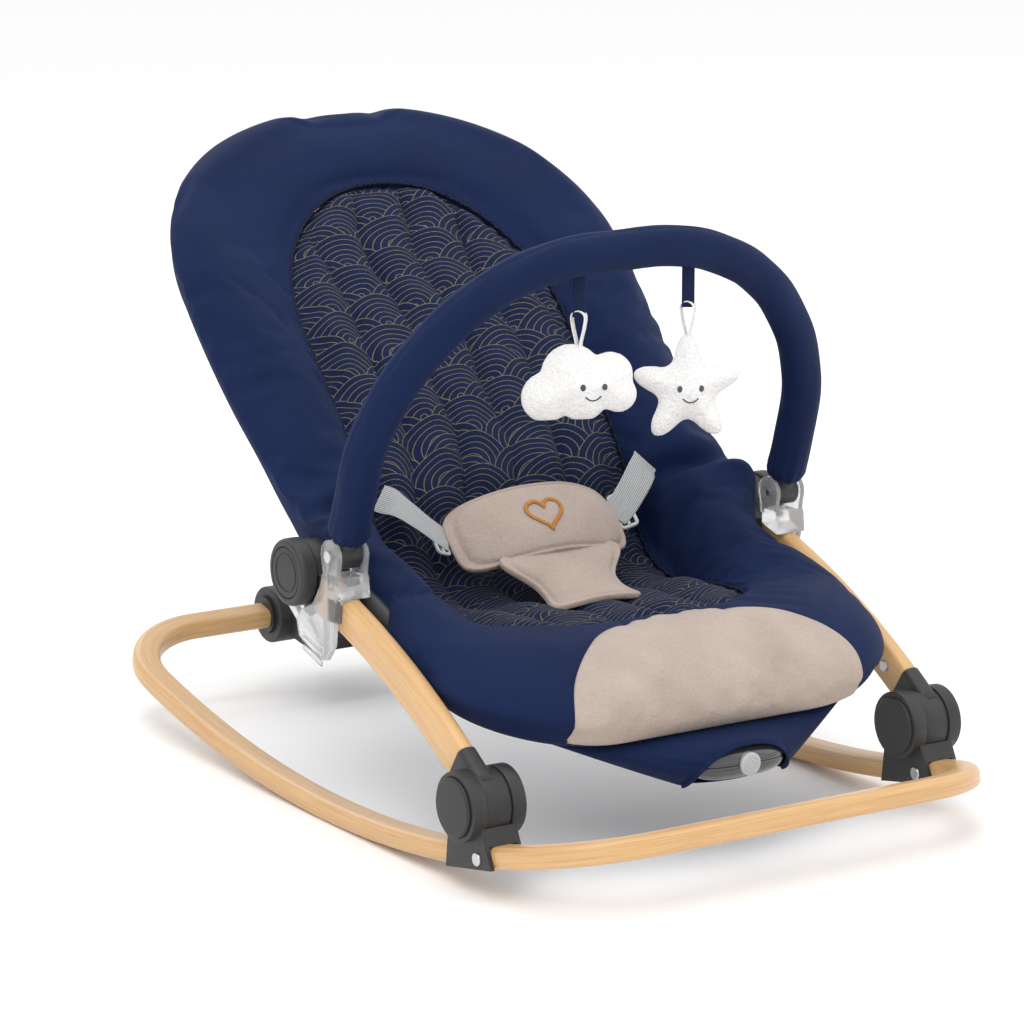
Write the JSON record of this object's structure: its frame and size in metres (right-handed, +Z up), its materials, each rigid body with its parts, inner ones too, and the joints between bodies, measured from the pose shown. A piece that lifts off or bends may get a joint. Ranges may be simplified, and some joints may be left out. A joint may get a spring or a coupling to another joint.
{
  "type": "baby bouncer seat",
  "caption": "Folding baby bouncer seat: tubular rocker base, padded reclining seat with harness, vibration unit in a front pocket and a padded toy bar with hanging toys.",
  "frame": {"origin": "on the floor, under the middle of the object's bounding box", "axes": "+Z up, the sitter faces -Y (the front of the base), +X is the sitter's left; X is across"},
  "size_m": [0.463, 0.7261, 0.5054],
  "materials": {
    "wood_tube": "steel tube with a light oak-look coat, satin",
    "steel": "zinc-plated",
    "hoop_steel": "powder-coated, hidden in the cover",
    "hinge_plastic": "fine spark-eroded texture",
    "button_plastic": "fine spark-eroded texture",
    "grey_plastic": "satin light grey",
    "white_plastic": "smooth",
    "clear_plastic": "translucent polycarbonate",
    "unit_plastic": "polished graphite",
    "foot_rubber": "matte",
    "border_fabric": "navy cotton over polyester wadding",
    "liner_fabric": "navy cotton with a fine gold line print, quilted",
    "velour": "beige cotton velour",
    "webbing": "ribbed light grey webbing",
    "toy_plush": "white plush",
    "strap_fabric": "navy cotton tape",
    "battery": "plain wrapped cell"
  },
  "bodies": {
    "base": {"rear_base_tube": "wood_tube", "front_base_tube": "wood_tube", "joining_spigots": "hinge_plastic", "hinge_pins": "steel", "bracket_rivets": "steel", "hinge_covers": "hinge_plastic", "lower_bracket_left": "hinge_plastic", "lower_bracket_right": "hinge_plastic", "fold_button_springs": "steel", "rear_bush": "hinge_plastic"},
    "fold_button_l": {"fold_button_left": "button_plastic"},
    "fold_button_r": {"fold_button_right": "button_plastic"},
    "stop": {"rocking_stop": "hinge_plastic", "stop_pad": "foot_rubber"},
    "seat_frame": {"leg_left": "wood_tube", "leg_right": "wood_tube", "upper_sleeve_left": "hinge_plastic", "upper_sleeve_right": "hinge_plastic", "leg_screws": "steel", "seat_hoop": "hoop_steel", "seat_border": "border_fabric", "seat_liner": "liner_fabric", "front_patch": "velour", "recline_housing_left": "hinge_plastic", "recline_housing_right": "hinge_plastic", "recline_axles": "steel", "toy_clip_left": "clear_plastic", "toy_clip_right": "clear_plastic", "clip_screws": "steel", "cover_hook_left": "white_plastic", "cover_hook_right": "white_plastic", "crotch_pad": "velour", "vibration_case_lower": "unit_plastic", "vibration_case_upper": "unit_plastic", "vibration_batteries": "battery", "vibration_motor": "steel", "unit_pocket": "border_fabric"},
    "backrest": {"back_hoop": "hoop_steel", "back_border": "border_fabric", "back_liner": "liner_fabric", "recline_disc_left": "hinge_plastic", "recline_disc_right": "hinge_plastic", "waist_pad": "velour", "harness_strap_left": "webbing", "harness_strap_right": "webbing", "strap_adjusters": "grey_plastic"},
    "recline_button_l": {"recline_button_left": "button_plastic"},
    "recline_button_r": {"recline_button_right": "button_plastic"},
    "toy_bar": {"toy_bar_rod": "hoop_steel", "toy_bar_cover": "border_fabric", "toy_bar_plugs": "hinge_plastic"},
    "star": {"star_strap": "strap_fabric", "star_toy": "toy_plush"},
    "cloud": {"cloud_strap": "strap_fabric", "cloud_toy": "toy_plush"},
    "power_button": {"vibration_button": "grey_plastic"},
    "weight": {"eccentric_weight": "steel"}
  },
  "joints": [
    {"name": "fold", "type": "hinge", "parent": "base", "child": "seat_frame", "pos_m": [0, -0.24, 0.068], "axis": [-1, 0, 0], "range_deg": [0, 22]},
    {"name": "recline", "type": "hinge", "parent": "seat_frame", "child": "backrest", "pos_m": [0, -0.003, 0.197], "axis": [1, 0, 0], "range_deg": [-34, 0]},
    {"name": "toy_bar_tilt", "type": "hinge", "parent": "seat_frame", "child": "toy_bar", "pos_m": [0, -0.052, 0.218], "axis": [1, 0, 0], "range_deg": [-20, 60]},
    {"name": "star_swing", "type": "hinge", "parent": "toy_bar", "child": "star", "pos_m": [0.06, -0.1249, 0.42336], "axis": [1, 0, 0], "range_deg": [-40, 40]},
    {"name": "cloud_swing", "type": "hinge", "parent": "toy_bar", "child": "cloud", "pos_m": [-0.042, -0.12566, 0.42569], "axis": [1, 0, 0], "range_deg": [-40, 40]},
    {"name": "rocking_stop_flip", "type": "hinge", "parent": "base", "child": "stop", "pos_m": [0, 0.3385, 0.0662], "axis": [1, 0, 0], "range_deg": [0, 75]},
    {"name": "fold_button_left_press", "type": "slide", "parent": "base", "child": "fold_button_l", "axis": [-1, 0, 0], "range_m": [0, 0.004], "stiffness_N_per_m": 400},
    {"name": "fold_button_right_press", "type": "slide", "parent": "base", "child": "fold_button_r", "axis": [1, 0, 0], "range_m": [0, 0.004], "stiffness_N_per_m": 400},
    {"name": "recline_button_left_press", "type": "slide", "parent": "backrest", "child": "recline_button_l", "axis": [-1, 0, 0], "range_m": [0, 0.0025], "stiffness_N_per_m": 400},
    {"name": "recline_button_right_press", "type": "slide", "parent": "backrest", "child": "recline_button_r", "axis": [1, 0, 0], "range_m": [0, 0.0025], "stiffness_N_per_m": 400},
    {"name": "power_button_press", "type": "slide", "parent": "seat_frame", "child": "power_button", "axis": [0, 1, 0], "range_m": [0, 0.0015], "stiffness_N_per_m": 400},
    {"name": "weight_spin", "type": "hinge", "parent": "seat_frame", "child": "weight", "pos_m": [0.012, -0.281, 0.079], "axis": [1, 0, 0], "continuous": true}
  ]
}
